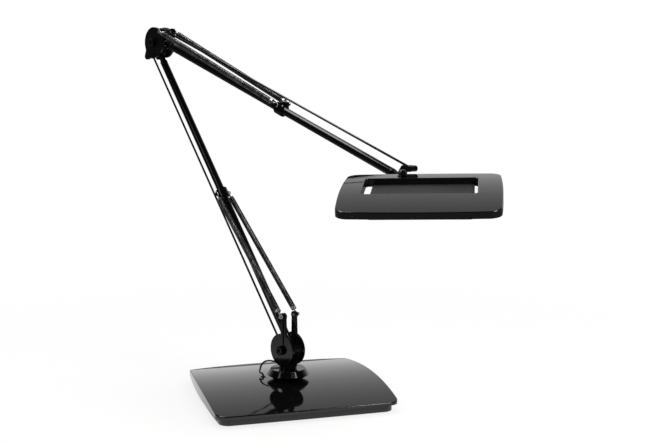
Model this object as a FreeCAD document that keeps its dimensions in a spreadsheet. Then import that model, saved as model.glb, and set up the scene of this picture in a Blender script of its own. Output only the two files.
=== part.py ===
import FreeCAD, Part
import Sketcher
import math
import os

# Two-arm balanced desk lamp. Origin on the desk, under the swivel axis; X along the base's width,
# Y to its back, Z up. Millimetres and degrees.

doc = FreeCAD.newDocument("desk_lamp")
V = FreeCAD.Vector
Turn = FreeCAD.Rotation
Place = FreeCAD.Placement
xAxis = V(1, 0, 0)
yAxis = V(0, 1, 0)
zAxis = V(0, 0, 1)

sizes = [
    # base
    ("base_front", 118.0), ("base_half_front", 122.7), ("base_half_back", 120.0), ("base_back", 111.0),
    ("side_bow", 4.5), ("back_bow", 26.0), ("front_bow", 0.6),
    ("corner_front", 14.0), ("corner_back", 5.0),
    ("cover_top", 26.5), ("cover_top_y", 8.0), ("cover_arch", 728.0), ("cover_wall", 3.0),
    ("cover_rim_low", 11.5), ("cover_rim_round", 1.4),
    ("plinth_inset", 6.0), ("plinth_wall", 2.5), ("plinth_floor", 2.0), ("pad_thick", 1.5), ("pad_inset", 14.0),
    ("weight_wide", 190.0), ("weight_deep", 184.0), ("weight_hole", 26.0),
    ("weight_top", 10.8), ("screw_x", 84.0), ("screw_y", 78.0), ("base_screw_r", 1.9), ("base_screw_head", 3.6),
    ("gland_x", -62.0), ("gland_up", 6.5), ("gland_r", 4.4), ("gland_bore", 2.2), ("gland_out", 5.0),
    # swivel
    ("collar_r", 29.0), ("collar_top_r", 24.1), ("collar_foot_r", 19.1), ("collar_seat", 25.8),
    ("collar_low", 33.0), ("collar_mid", 33.6), ("collar_top", 41.6), ("spigot_r", 14.0), ("spigot_low", 18.0),
    ("spindle_r", 6.0), ("spindle_low", 8.0), ("spindle_in_core", 8.4), ("bush_r", 9.0), ("run_fit", 0.05),
    ("nut_r", 11.0), ("nut_thick", 5.0), ("gap", 0.3),
    # lower hub, sizes from the clamp screw's centre
    ("hub_up", 68.2), ("heading", -63.0), ("disc_r", 23.0), ("half_wide", 12.0), ("plate_thick", 4.0),
    ("core_r", 21.5), ("core_in", 17.0), ("neck_r", 12.0),
    ("pin_x", 9.4), ("pin_z", 1.8), ("tube_pin_r", 2.5), ("rod_pin_r", 1.5), ("screw_r", 2.6), ("screw_head_r", 6.5),
    ("screw_head", 5.0), ("socket_r", 2.9), ("socket_deep", 3.2), ("hex_r", 5.6), ("hex_thick", 4.5),
    ("stud_x", 2.9), ("stud_z", 48.0), ("stud_r", 1.5), ("stud_out", 14.5), ("stud_end", 17.2), ("stud_cap", 2.4),
    ("ear_r", 5.0),
    # arms
    ("lean", 36.45), ("lower_long", 509.0), ("tube_r", 5.5), ("tube_bore", 4.5), ("tongue_half", 3.0),
    ("tongue_slim", 3.2), ("eye_r", 5.6), ("shoulder", 15.0), ("shoulder_long", 5.0), ("spigot_long", 14.0),
    ("rod_r", 1.5), ("rod_eye_r", 3.5), ("rod_eye_half", 2.5),
    ("low_bracket_at", 255.0), ("bracket_r", 8.6), ("bracket_long", 13.0), ("boss_out", 9.2), ("boss_r", 3.6),
    ("hook_out", 10.7), ("pin_end", 13.0),
    # elbow, sizes from the upper arm's pivot
    ("elbow_tube_z", -17.0), ("horn_x", 19.5), ("horn_z", 15.5), ("horn_r", 5.5), ("horn_out", 13.9), ("horn_end", 15.8),
    ("upper_long", 533.9), ("drop", 19.59), ("tube_lift", 3.8), ("up_bracket_at", 298.0), ("up_pin_lift", 7.0),
    # springs
    ("coil_r", 3.4), ("wire_r", 0.6), ("plug_r", 3.9), ("plug_long", 3.0), ("hook_wire", 0.9), ("hook_reach", 9.0),
    # head
    ("head_reach", 38.77), ("head_pin_low", 11.0), ("head_swivel", 38.6), ("head_tilt", 12.0), ("head_roll", 1.3),
    ("cheek_in", 3.2), ("cheek_out", 6.0), ("link_r", 6.5), ("link_rod_r", 3.8), ("link_foot_low", -24.0),
    ("link_foot_top", -17.9), ("throat_x", 6.0), ("swivel_boss_r", 7.0), ("stub_r", 3.5),
    ("shell_back", 59.3), ("shell_up", 18.3), ("shell_wide", 187.5), ("shell_deep", 147.0), ("shell_corner", 15.0),
    ("shell_wall", 3.0), ("shell_rim", 8.0), ("back_rim", 3.4), ("crown", 4.0), ("shell_bow", 2.5),
    ("window_half", 66.4), ("window_off", -1.6), ("window_front", -16.2), ("window_back", 47.4), ("window_round", 4.0),
    ("box_left", -60.0), ("box_right", 61.0), ("box_front", -42.0), ("box_back", 43.0), ("box_top", -9.5),
    ("box_low", -19.0), ("box_wall", 2.0), ("lens_thick", 2.0),
    ("lug_in", 7.3), ("lug_thick", 3.0), ("lug_r", 6.2), ("tilt_pin_r", 2.0), ("knuckle_room", 0.16), ("knuckle_half", 7.0),
    ("knuckle_low", 6.3), ("knuckle_r", 6.0),
    ("post_r", 4.0), ("post_x", 46.0), ("post_front", -34.0), ("post_back", 52.0),
    ("board_wide", 108.0), ("board_deep", 66.0), ("board_thick", 1.6),
    ("button_x", -25.0), ("button_y", 60.0), ("button_r", 4.7), ("button_high", 8.0), ("bezel_r", 6.2),
    ("button_travel", 2.0),
    # lead
    ("lead_r", 1.3), ("lead_gland_r", 2.3), ("grommet_r", 3.6),
]

sheet = doc.addObject("Spreadsheet::Sheet", "size")
for row, (name, number) in enumerate(sizes, 1):
    sheet.set("A%d" % row, name)
    sheet.set("B%d" % row, "%.9g" % number)
    sheet.setAlias("B%d" % row, name)
doc.recompute()


def of(name):
    return float(sheet.get(name))


# ---- helpers -------------------------------------------------------------------------------

finished = []


def keep(thing, label, frame=None):
    """A finished sub-part: its own label and its place in the lamp."""
    thing.Label = label
    if frame is not None:
        thing.Placement = frame
    finished.append(thing)
    return thing


def bodyNamed(name):
    return doc.addObject("PartDesign::Body", name)


def sketchOn(body, role, lift="0"):
    plane = [item for item in body.Origin.OriginFeatures if item.Role == role][0]
    sketch = body.newObject("Sketcher::SketchObject", body.Name + "_sketch")
    sketch.AttachmentSupport = [(plane, "")]
    sketch.MapMode = "FlatFace"
    sketch.setExpression(".AttachmentOffset.Base.z", lift)
    return sketch


def fixPoint(sketch, item, end, x, y, near=None):
    """Places a point by two expressions; near is where the outline already has it."""
    first = (1.0, 1.0) if near is None else (near[0], near[1])
    for kind, text, number in (("DistanceX", x, first[0]), ("DistanceY", y, first[1])):
        count = sketch.addConstraint(Sketcher.Constraint(kind, -1, 1, item, end, number))
        sketch.setExpression("Constraints[%d]" % count, text)


def circle(sketch, x, y, radius):
    item = sketch.addGeometry(Part.Circle(V(0, 0, 0), zAxis, 1.0), False)
    fixPoint(sketch, item, 3, x, y)
    count = sketch.addConstraint(Sketcher.Constraint("Radius", item, 1.0))
    sketch.setExpression("Constraints[%d]" % count, radius)


def corners(sketch, points):
    """A closed outline through corners given as pairs of expressions."""
    total = len(points)
    first = sketch.GeometryCount
    ring = [V(math.cos(2 * math.pi * k / total), math.sin(2 * math.pi * k / total), 0) for k in range(total)]
    for k in range(total):
        sketch.addGeometry(Part.LineSegment(ring[k], ring[(k + 1) % total]), False)
    for k in range(total):
        sketch.addConstraint(Sketcher.Constraint("Coincident", first + k, 2, first + (k + 1) % total, 1))
    for k, (x, y) in enumerate(points):
        fixPoint(sketch, first + k, 1, x, y)


def bowed(sketch, places, points, bows):
    """A closed outline whose sides bow outwards: places are the numbers the outline starts from."""
    total = len(points)
    for k in range(total):
        a, b = V(*places[k]), V(*places[(k + 1) % total])
        out = (b - a).cross(zAxis).normalize()
        bow = of(bows[k])
        sketch.addGeometry(Part.Arc(a, (a + b) * 0.5 + out * bow, b), False)
    for k in range(total):
        after = (k + 1) % total
        sketch.addConstraint(Sketcher.Constraint("Coincident", k, 2, after, 1))
        fixPoint(sketch, k, 1, *points[k], places[k])
    for k in range(total):
        after = (k + 1) % total
        chord = "((%s - (%s))^2 + (%s - (%s))^2)" % (points[k][0], points[after][0], points[k][1], points[after][1])
        count = sketch.addConstraint(Sketcher.Constraint("Radius", k, sketch.Geometry[k].Radius))
        sketch.setExpression("Constraints[%d]" % count, "(%s/4 + size.%s^2)/(2*size.%s)" % (chord, bows[k], bows[k]))


def pad(body, sketch, length):
    feature = body.newObject("PartDesign::Pad", body.Name + "_pad")
    feature.Profile = sketch
    feature.setExpression("Length", length)
    return feature


def through(body, sketch):
    feature = body.newObject("PartDesign::Pocket", body.Name + "_through")
    feature.Profile = sketch
    feature.Type = 1
    feature.Midplane = True
    return feature


def blind(body, sketch, length, reverse=False):
    """Cuts against the sketch's normal, or along it when reversed."""
    feature = body.newObject("PartDesign::Pocket", body.Name + "_blind")
    feature.Profile = sketch
    feature.Reversed = reverse
    feature.setExpression("Length", length)
    return feature


def padDisc(body, role, lift, length, x, y, radius):
    sketch = sketchOn(body, role, lift)
    circle(sketch, x, y, radius)
    return pad(body, sketch, length)


def padCorners(body, role, lift, length, points):
    sketch = sketchOn(body, role, lift)
    corners(sketch, points)
    return pad(body, sketch, length)


def hole(body, role, x, y, radius, lift="0"):
    sketch = sketchOn(body, role, lift)
    circle(sketch, x, y, radius)
    return through(body, sketch)


def turned(name, points):
    """A body of revolution about Z from (radius, height) pairs."""
    body = bodyNamed(name)
    sketch = sketchOn(body, "XZ_Plane")
    corners(sketch, points)
    feature = body.newObject("PartDesign::Revolution", name + "_turn")
    feature.Profile = sketch
    feature.ReferenceAxis = (sketch, ["V_Axis"])
    feature.Angle = 360
    return body


def rounded(body, radius, wanted):
    """Rounds the body's edges that wanted(edge) picks."""
    doc.recompute()
    tip = body.Tip
    names = ["Edge%d" % (k + 1) for k, edge in enumerate(tip.Shape.Edges) if wanted(edge)]
    feature = body.newObject("PartDesign::Fillet", body.Name + "_round")
    feature.Base = (tip, names)
    feature.setExpression("Radius", radius)
    body.Tip = feature
    return feature


def cylinder(name, radius, height, frame=None):
    solid = doc.addObject("Part::Cylinder", name)
    solid.setExpression("Radius", radius)
    solid.setExpression("Height", height)
    if frame is not None:
        solid.Placement = frame
    return solid


def combine(kind, name, things):
    both = doc.addObject(kind, name)
    if kind == "Part::Cut":
        both.Base, both.Tool = things
    else:
        both.Shapes = things
    return both


def group(label, shapes, frame):
    """Alike solids that share one node."""
    whole = doc.addObject("Part::Feature", label)
    whole.Shape = Part.makeCompound(shapes) if len(shapes) > 1 else shapes[0]
    return keep(whole, label, frame)


def vertical(edge):
    a, b = edge.Vertexes[0].Point, edge.Vertexes[-1].Point
    return abs(a.x - b.x) < 1e-4 and abs(a.y - b.y) < 1e-4 and abs(a.z - b.z) > 0.5


def rodBetween(a, b, radius):
    return Part.makeCylinder(radius, (b - a).Length, a, b - a)


# ---- frames --------------------------------------------------------------------------------

hubFrame = Place(V(0, 0, of("hub_up")), Turn(zAxis, of("heading")))
lowerAt = Place(V(of("pin_x"), 0, of("pin_z")), Turn(yAxis, -of("lean")))
lowerFrame = hubFrame * lowerAt
lowerEnd = lowerAt.multVec(V(0, 0, of("lower_long")))
elbowFrame = hubFrame * Place(lowerEnd - V(0, 0, of("elbow_tube_z")), Turn())
upperFrame = elbowFrame * Place(V(0, 0, 0), Turn(yAxis, 90 + of("drop")))
linkFrame = elbowFrame * Place(Turn(yAxis, 90 + of("drop")).multVec(V(0, 0, of("upper_long"))), Turn())
swivelFrame = linkFrame * Place(V(of("head_reach"), 0, -of("head_pin_low")), Turn(zAxis, of("head_swivel")))
tiltFrame = swivelFrame * Place(V(0, 0, 0), Turn(xAxis, of("head_tilt"))) * Place(V(0, 0, 0), Turn(yAxis, -of("head_roll")))
shellFrame = tiltFrame * Place(V(0, -of("shell_back"), of("shell_up")), Turn())

# ---- base ----------------------------------------------------------------------------------


def summed(names):
    """The text and the number of a sum of sizes."""
    return " + ".join(["0"] + ["size." + name for name in names]), sum(of(name) for name in names)


def planOutline(name, insets, low, height):
    """The base's bowed outline, drawn in by the sum of insets, as a straight block."""
    body = bodyNamed(name)
    sketch = sketchOn(body, "XY_Plane", low)
    inset, number = summed(insets)
    front = "-(size.base_front - (%s))" % inset
    back = "size.base_back - (%s)" % inset
    halfFront = "(size.base_half_front - (%s))" % inset
    halfBack = "(size.base_half_back - (%s))" % inset
    points = [("-" + halfFront, front), (halfFront, front), (halfBack, back), ("-" + halfBack, back)]
    x1, x2 = of("base_half_front") - number, of("base_half_back") - number
    y1, y2 = number - of("base_front"), of("base_back") - number
    places = [(-x1, y1, 0), (x1, y1, 0), (x2, y2, 0), (-x2, y2, 0)]
    bowed(sketch, places, points, ["front_bow", "side_bow", "back_bow", "side_bow"])
    pad(body, sketch, height)
    rounded(body, "size.corner_front", lambda edge: vertical(edge) and edge.Vertexes[0].Point.y < 0)
    rounded(body, "size.corner_back", lambda edge: vertical(edge) and edge.Vertexes[0].Point.y > 0
            and abs(edge.Vertexes[0].Point.x) > of("base_half_back") / 2)
    return body


def archRoll(name, radius):
    """The long cylinder whose top is the cover's shallow arch."""
    roll = cylinder(name, radius, "3*size.base_half_front")
    roll.Placement = Place(V(-1.5 * of("base_half_front"), of("cover_top_y"), of("cover_top") - of("cover_arch")),
                           Turn(yAxis, 90))
    return roll


coverBlock = planOutline("cover_block", [], "size.cover_rim_low", "size.cover_top")
coverSkin = combine("Part::MultiCommon", "cover_skin", [coverBlock, archRoll("cover_roll", "size.cover_arch")])
hollowBlock = planOutline("cover_hollow_block", ["cover_wall"], "size.cover_rim_low - 1", "size.cover_top")
coverHollow = combine("Part::MultiCommon", "cover_hollow",
                      [hollowBlock, archRoll("cover_under_roll", "size.cover_arch - size.cover_wall")])
coverShell = combine("Part::Cut", "cover_shell", (coverSkin, coverHollow))
collarSeat = cylinder("collar_seat_cut", "size.collar_foot_r + size.gap", "size.cover_top",
                      Place(V(0, 0, of("collar_seat")), Turn()))
spigotHole = cylinder("spigot_hole", "size.spigot_r + size.run_fit", "2*size.cover_top")
grommetAt = V(-31.7, 16.7, 0)
grommetHole = cylinder("grommet_hole", "size.grommet_r - 1", "2*size.cover_top", Place(grommetAt, Turn()))
screwSpots = [(sx * of("screw_x"), sy * of("screw_y")) for sx in (-1, 1) for sy in (-1, 1)]
posts = [cylinder("screw_post", "size.base_screw_head", "size.cover_top - size.weight_top",
                  Place(V(x, y, of("weight_top")), Turn())) for x, y in screwSpots]
postRoll = combine("Part::MultiCommon", "screw_posts", [combine("Part::MultiFuse", "screw_post_set", posts),
                                                       archRoll("post_roll", "size.cover_arch - 1")])
coverPosted = combine("Part::MultiFuse", "cover_posted", [coverShell, postRoll])
postHoles = [cylinder("post_hole", "size.base_screw_r", "3", Place(V(x, y, of("weight_top")), Turn()))
             for x, y in screwSpots]
coverCuts = combine("Part::MultiFuse", "cover_cuts", [collarSeat, spigotHole, grommetHole] + postHoles)
coverOpen = combine("Part::Cut", "cover_open", (coverPosted, coverCuts))
doc.recompute()


def rimEdge(edge):
    box = edge.BoundBox
    high = box.ZMax > of("cover_rim_low") + 2 and not vertical(edge)
    wide = max(abs(box.XMax), abs(box.XMin)) > of("base_half_back") - 8 or box.YMax > of("base_back") \
        or box.YMin < -of("base_front") + 2
    outer = all(abs(of("cover_top") - (p.y - of("cover_top_y")) ** 2 / (2 * of("cover_arch")) - p.z) < 0.4
                for p in (v.Point for v in edge.Vertexes))
    return high and wide and outer and edge.Length > 1


cover = doc.addObject("Part::Fillet", "base_cover")
cover.Base = coverOpen
cover.Edges = [(k + 1, of("cover_rim_round"), of("cover_rim_round"))
               for k, edge in enumerate(coverOpen.Shape.Edges) if rimEdge(edge)]
keep(cover, "base_cover", Place())

# the tray under the cover: walls and floor, with screw holes and the gland's hole in the back wall
trayTop = "size.cover_rim_low - size.gap"
plinth = planOutline("plinth_block", ["plinth_inset"], "size.pad_thick", trayTop + " - size.pad_thick")
hollow = planOutline("plinth_hollow", ["plinth_inset", "plinth_wall"], "size.pad_thick + size.plinth_floor",
                     "size.cover_top")
plinthTray = combine("Part::Cut", "plinth_tray", (plinth, hollow))
plinthHoles = [cylinder("plinth_screw_hole", "size.base_screw_r + size.run_fit", "size.cover_top",
                        Place(V(x, y, 0), Turn())) for x, y in screwSpots]
glandHole = cylinder("plinth_gland_hole", "size.gland_r - 1", "2*size.gland_out + 4*size.plinth_wall + 12",
                     Place(V(of("gland_x"), of("base_back") - 10, of("gland_up")), Turn(xAxis, -90)))
padSeat = planOutline("pad_seat", ["pad_inset"], "0", "size.pad_thick")
trayCuts = combine("Part::MultiFuse", "tray_cuts", plinthHoles + [glandHole])
keep(combine("Part::Cut", "base_plinth_cut", (plinthTray, trayCuts)), "base_plinth", Place())
keep(padSeat, "base_pad", Place())

# ballast on the tray's floor, with room for the swivel's nut and for the screws
weightLow = "(size.pad_thick + size.plinth_floor)"
weight = bodyNamed("base_weight")
padCorners(weight, "XY_Plane", weightLow, "size.weight_top - size.gap - (%s)" % weightLow,
           [("-size.weight_wide/2", "-size.weight_deep/2"), ("size.weight_wide/2", "-size.weight_deep/2"),
            ("size.weight_wide/2", "size.weight_deep/2"), ("-size.weight_wide/2", "size.weight_deep/2")])
rounded(weight, "size.corner_front", vertical)
hole(weight, "XY_Plane", "0", "0", "size.weight_hole")
for sx in ("-", ""):
    for sy in ("-", ""):
        hole(weight, "XY_Plane", sx + "size.screw_x", sy + "size.screw_y", "size.base_screw_r + size.run_fit")
keep(weight, "base_weight", Place())

# screws from below through the tray and the ballast into the cover's posts
screws = [Part.makeCylinder(of("base_screw_r"), of("weight_top") + 3 - of("pad_thick"), V(x, y, of("pad_thick")))
          for x, y in screwSpots]
group("base_screws", screws, Place())

# inlet for the mains lead in the back wall
wallAt = of("base_back") - of("plinth_inset")
reach = of("back_bow") * (1 - (of("gland_x") / (of("base_half_back") - of("plinth_inset"))) ** 2)
glandY = wallAt + reach
ring = Part.makeCylinder(of("gland_r"), of("gland_out"), V(of("gland_x"), glandY + 1.35, of("gland_up")), yAxis)
neck = Part.makeCylinder(of("gland_r") - 1 - of("run_fit"), of("plinth_wall") + 6,
                         V(of("gland_x"), glandY + 1.35 - of("plinth_wall") - 4, of("gland_up")), yAxis)
bore = Part.makeCylinder(of("gland_bore"), 40, V(of("gland_x"), glandY - 20, of("gland_up")), yAxis)
group("mains_gland", [ring.fuse(neck).cut(bore).removeSplitter()], Place())

# double-cone collar with its spigot, and the bush the spindle runs in
collar = turned("swivel_collar", [
    ("size.bush_r", "size.spigot_low"), ("size.spigot_r", "size.spigot_low"), ("size.spigot_r", "size.collar_seat"),
    ("size.collar_foot_r", "size.collar_seat"), ("size.collar_foot_r", "size.cover_top"),
    ("size.collar_r", "size.collar_low"), ("size.collar_r", "size.collar_mid"),
    ("size.collar_top_r", "size.collar_top"), ("size.bush_r", "size.collar_top")])
rounded(collar, "0.5", lambda edge: edge.BoundBox.XMax > of("collar_top_r") - 0.1 and edge.BoundBox.ZMin > 30)
keep(collar, "swivel_collar", Place())
bush = turned("swivel_bush", [
    ("size.spindle_r + size.run_fit", "size.spigot_low"), ("size.bush_r", "size.spigot_low"),
    ("size.bush_r", "size.collar_top"), ("size.spindle_r + size.run_fit", "size.collar_top")])
keep(bush, "swivel_bush", Place())

# ---- lower hub (on its own frame: X along the arm's heading, -Y the side towards the viewer) ----

spindleTop = "size.collar_top + size.gap + size.spindle_in_core"
spindle = cylinder("swivel_spindle", "size.spindle_r", spindleTop + " - size.spindle_low",
                   Place(V(0, 0, of("spindle_low")), Turn()))
keep(spindle, "swivel_spindle")
nutLow = "size.spigot_low - size.gap - size.nut_thick"
spindleNut = bodyNamed("spindle_nut")
padCorners(spindleNut, "XY_Plane", nutLow, "size.nut_thick",
           [("size.nut_r*cos(%d)" % a, "size.nut_r*sin(%d)" % a) for a in range(0, 360, 60)])
hole(spindleNut, "XY_Plane", "0", "0", "size.spindle_r")
keep(spindleNut, "spindle_nut", Place())


def sidePlate(name, front, tongues, discs, holes):
    """A round side plate with its ears: front is the side towards the viewer."""
    body = bodyNamed(name)
    lift = "size.half_wide - size.plate_thick" if front else "-size.half_wide"
    padDisc(body, "XZ_Plane", lift, "size.plate_thick", "0", "0", "size.disc_r")
    for points in tongues:
        padCorners(body, "XZ_Plane", lift, "size.plate_thick", points)
    for x, y, radius in discs:
        padDisc(body, "XZ_Plane", lift, "size.plate_thick", x, y, radius)
    for x, y, radius in holes:
        hole(body, "XZ_Plane", x, y, radius)
    return body


earWeb = [("size.stud_x - 4.6", "size.disc_r*0.8"), ("size.stud_x + 5", "size.disc_r*0.8"),
          ("size.stud_x + 3.9", "size.stud_z"), ("size.stud_x - 3.9", "size.stud_z")]
hubHoles = [("0", "0", "size.screw_r"), ("size.pin_x", "size.pin_z", "size.tube_pin_r"),
            ("-size.pin_x", "-size.pin_z", "size.rod_pin_r"), ("size.stud_x", "size.stud_z", "size.stud_r")]
earDisc = [("size.stud_x", "size.stud_z", "size.ear_r")]
hubFront = sidePlate("hub_front_plate", True, [earWeb], earDisc, hubHoles[:1] + hubHoles[3:])
padCorners(hubFront, "XZ_Plane", "size.half_wide - 0.1", "1.5",
           [("size.stud_x - 1.4", "size.screw_head_r + 2"), ("size.stud_x + 1.4", "size.screw_head_r + 2"),
            ("size.stud_x + 1.2", "size.stud_z - size.ear_r"), ("size.stud_x - 1.2", "size.stud_z - size.ear_r")])
hubRear = sidePlate("hub_rear_plate", False, [earWeb], earDisc, hubHoles[:1] + hubHoles[3:])


def outerRim(edge):
    """Long edges on a plate's outer face."""
    box = edge.BoundBox
    return abs(abs(box.YMin) - of("half_wide")) < 1e-3 and box.YLength < 1e-3 and edge.Length > 20


rounded(hubRear, "0.8", outerRim)
keep(hubFront, "hub_front_plate", hubFrame)
keep(hubRear, "hub_rear_plate", hubFrame)


def ringSector(body, start, sweep, outer, inner):
    """Part of a ring between the plates, as a fan of corners."""
    steps = 14
    angles = [start + sweep * k / steps for k in range(steps + 1)]
    points = [("%s*cos(%.4f)" % (outer, a), "%s*sin(%.4f)" % (outer, a)) for a in angles]
    points += [("%s*cos(%.4f)" % (inner, a), "%s*sin(%.4f)" % (inner, a)) for a in reversed(angles)]
    padCorners(body, "XZ_Plane", "-(size.half_wide - size.plate_thick)", "2*(size.half_wide - size.plate_thick)", points)


core = bodyNamed("hub_core")
ringSector(core, 200, 185, "size.core_r", "size.core_in")
neckLow = "size.collar_top + size.gap - size.hub_up"
neckTop = "-size.disc_r - 0.1"
padDisc(core, "XY_Plane", neckLow, "%s - (%s)" % (neckTop, neckLow), "0", "0", "size.neck_r")
padCorners(core, "XZ_Plane", "-(size.half_wide - size.plate_thick)", "2*(size.half_wide - size.plate_thick)",
           [("-size.neck_r + 1.8", neckTop + " - 1"), ("size.neck_r - 1.8", neckTop + " - 1"),
            ("size.neck_r - 1.8", "-size.core_in*0.85"), ("-size.neck_r + 1.8", "-size.core_in*0.85")])
spindleSocket = sketchOn(core, "XY_Plane", neckLow)
circle(spindleSocket, "0", "0", "size.spindle_r")
blind(core, spindleSocket, "size.spindle_in_core", True)
keep(core, "hub_core", hubFrame)


def crossPin(label, x, z, radius, half, frame):
    pin = Part.makeCylinder(radius, 2 * half, V(x, -half, z), yAxis)
    return group(label, [pin], frame)


inner = of("half_wide") - of("plate_thick")
crossPin("hub_tube_pin", of("pin_x"), of("pin_z"), of("tube_pin_r"), inner, hubFrame)
crossPin("hub_rod_pin", -of("pin_x"), -of("pin_z"), of("rod_pin_r"), inner, hubFrame)


def socketScrew(label, front, back, frame):
    """A socket-head screw along Y: head against the front face, shank through both plates."""
    head = Part.makeCylinder(of("screw_head_r"), of("screw_head"), V(0, -front - of("screw_head"), 0), yAxis)
    rim = [edge for edge in head.Edges if abs(edge.BoundBox.YMin + front + of("screw_head")) < 1e-6]
    head = head.makeFillet(0.6, [edge for edge in rim if edge.BoundBox.YLength < 1e-6])
    hexagon = Part.makePolygon([V(of("socket_r") * math.cos(math.radians(a)), -front - of("screw_head") - 1,
                                  of("socket_r") * math.sin(math.radians(a))) for a in range(0, 361, 60)])
    socket = Part.Face(hexagon).extrude(V(0, of("socket_deep") + 1, 0))
    shank = Part.makeCylinder(of("screw_r"), front + back, V(0, -front, 0), yAxis)
    return group(label, [head.cut(socket).fuse(shank).removeSplitter()], frame)


def hexNut(label, y, frame):
    hexagon = Part.makePolygon([V(of("hex_r") * math.cos(math.radians(a)), y, of("hex_r") * math.sin(math.radians(a)))
                                for a in range(0, 361, 60)])
    nut = Part.Face(hexagon).extrude(V(0, of("hex_thick"), 0))
    return group(label, [nut.cut(Part.makeCylinder(of("screw_r"), of("hex_thick") * 2, V(0, y - 1, 0), yAxis))], frame)


socketScrew("hub_clamp_screw", of("half_wide"), of("half_wide") + of("hex_thick") + 1, hubFrame)
hexNut("hub_clamp_nut", of("half_wide"), hubFrame)

studs = []
for side in (-1, 1):
    root = V(of("stud_x"), side * inner, of("stud_z"))
    shaft = Part.makeCylinder(of("stud_r"), of("stud_end") - inner, root, V(0, side, 0))
    cap = Part.makeCylinder(of("stud_cap"), 1.2, root + V(0, side * (of("stud_end") - inner - 1.2), 0), V(0, side, 0))
    studs.append(shaft.fuse(cap).removeSplitter())
group("hub_spring_studs", studs, hubFrame)

# ---- lower arm (Z along the arm from its pivot) -------------------------------------------------


def tubeNode(label, start, end, frame, lift="0"):
    body = bodyNamed(label)
    sketch = sketchOn(body, "XY_Plane", start)
    circle(sketch, "-(%s)" % lift, "0", "size.tube_r")
    circle(sketch, "-(%s)" % lift, "0", "size.tube_bore")
    pad(body, sketch, "(%s) - (%s)" % (end, start))
    return keep(body, label, frame)


def tubeEnd(label, pivot, way, frame, lift="0"):
    """A flat eye on the pivot, a shoulder and a spigot inside the tube; way is 1 or -1 along Z."""
    body = bodyNamed(label)
    side = "size.tongue_half"
    eyeLift = "-" + side
    padDisc(body, "XZ_Plane", eyeLift, "2*" + side, "0", pivot, "size.eye_r")
    step = "%s %s " % (pivot, "+" if way > 0 else "-")
    points = [("-size.tongue_slim", pivot), ("size.tongue_slim", pivot),
              ("size.tongue_slim - (%s)" % lift, step + "size.shoulder + 0"),
              ("-size.tongue_slim - (%s)" % lift, step + "size.shoulder + 0")]
    padCorners(body, "XZ_Plane", eyeLift, "2*" + side, points)
    low = step + "size.shoulder" if way > 0 else step + "size.shoulder - size.shoulder_long"
    padDisc(body, "XY_Plane", low, "size.shoulder_long", "-(%s)" % lift, "0", "size.tube_r")
    low = step + "size.shoulder" if way > 0 else step + "size.shoulder - size.shoulder_long - size.spigot_long"
    padDisc(body, "XY_Plane", low, "size.shoulder_long + size.spigot_long", "-(%s)" % lift, "0", "size.tube_bore")
    hole(body, "XZ_Plane", "0", pivot, "size.tube_pin_r + size.run_fit")
    return keep(body, label, frame)


tubeStart = "(size.shoulder + size.shoulder_long)"
tubeNode("lower_tube", tubeStart, "size.lower_long - " + tubeStart, lowerFrame)
tubeEnd("lower_tube_foot", "0", 1, lowerFrame)
tubeEnd("lower_tube_head", "size.lower_long", -1, lowerFrame)

rodShift = lowerAt.inverse().multVec(V(-of("pin_x"), 0, -of("pin_z")))


def rodNode(label, shift, length, frame):
    """A thin guide rod with an eye at each end; the far eye is the open pivot, with more room."""
    ends = [shift, shift + V(0, 0, length)]
    solid = rodBetween(ends[0] + V(0, 0, 2.6), ends[1] - V(0, 0, 2.6), of("rod_r"))
    for end in ends:
        eye = Part.makeCylinder(of("rod_eye_r"), 2 * of("rod_eye_half"), end - V(0, of("rod_eye_half"), 0), yAxis)
        solid = solid.fuse(eye)
    for end, room in zip(ends, (of("run_fit"), 2 * of("run_fit"))):
        solid = solid.cut(Part.makeCylinder(of("rod_pin_r") + room, 20, end - V(0, 10, 0), yAxis))
    return group(label, [solid.removeSplitter()], frame)


rodNode("lower_rod", rodShift, of("lower_long"), lowerFrame)


def bracketNode(label, at, pinLift, frame, lift="0"):
    """A clamp ring on the tube with flat bosses for the springs' pins."""
    body = bodyNamed(label)
    padDisc(body, "XY_Plane", "%s - size.bracket_long/2" % at, "size.bracket_long", "-(%s)" % lift, "0", "size.bracket_r")
    x = "-(%s) - (%s)" % (lift, pinLift)
    padDisc(body, "XZ_Plane", "-size.boss_out", "2*size.boss_out", x, at, "size.boss_r")
    if pinLift != "0":
        padCorners(body, "XZ_Plane", "-size.boss_out", "2*size.boss_out",
                   [(x, "%s - size.boss_r" % at), (x + " + size.bracket_r", "%s - size.boss_r" % at),
                    (x + " + size.bracket_r", "%s + size.boss_r" % at), (x, "%s + size.boss_r" % at)])
    padDisc(body, "XZ_Plane", "-size.pin_end", "2*size.pin_end", x, at, "size.stud_r")
    for low in ("-size.pin_end", "size.pin_end - 1"):
        padDisc(body, "XZ_Plane", low, "1", x, at, "size.stud_cap")
    hole(body, "XY_Plane", "-(%s)" % lift, "0", "size.tube_r")
    if pinLift != "0":
        notch = sketchOn(body, "XY_Plane", at)
        top = "-(%s) - size.tube_r - 1" % lift
        corners(notch, [(top, "-size.rod_r - 1"), (top, "size.rod_r + 1"), (top + " - 20", "size.rod_r + 1"),
                        (top + " - 20", "-size.rod_r - 1")])
        through(body, notch)
    return keep(body, label, frame)


bracketNode("lower_bracket", "size.low_bracket_at", "0", lowerFrame)

# ---- elbow -------------------------------------------------------------------------------------

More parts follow.
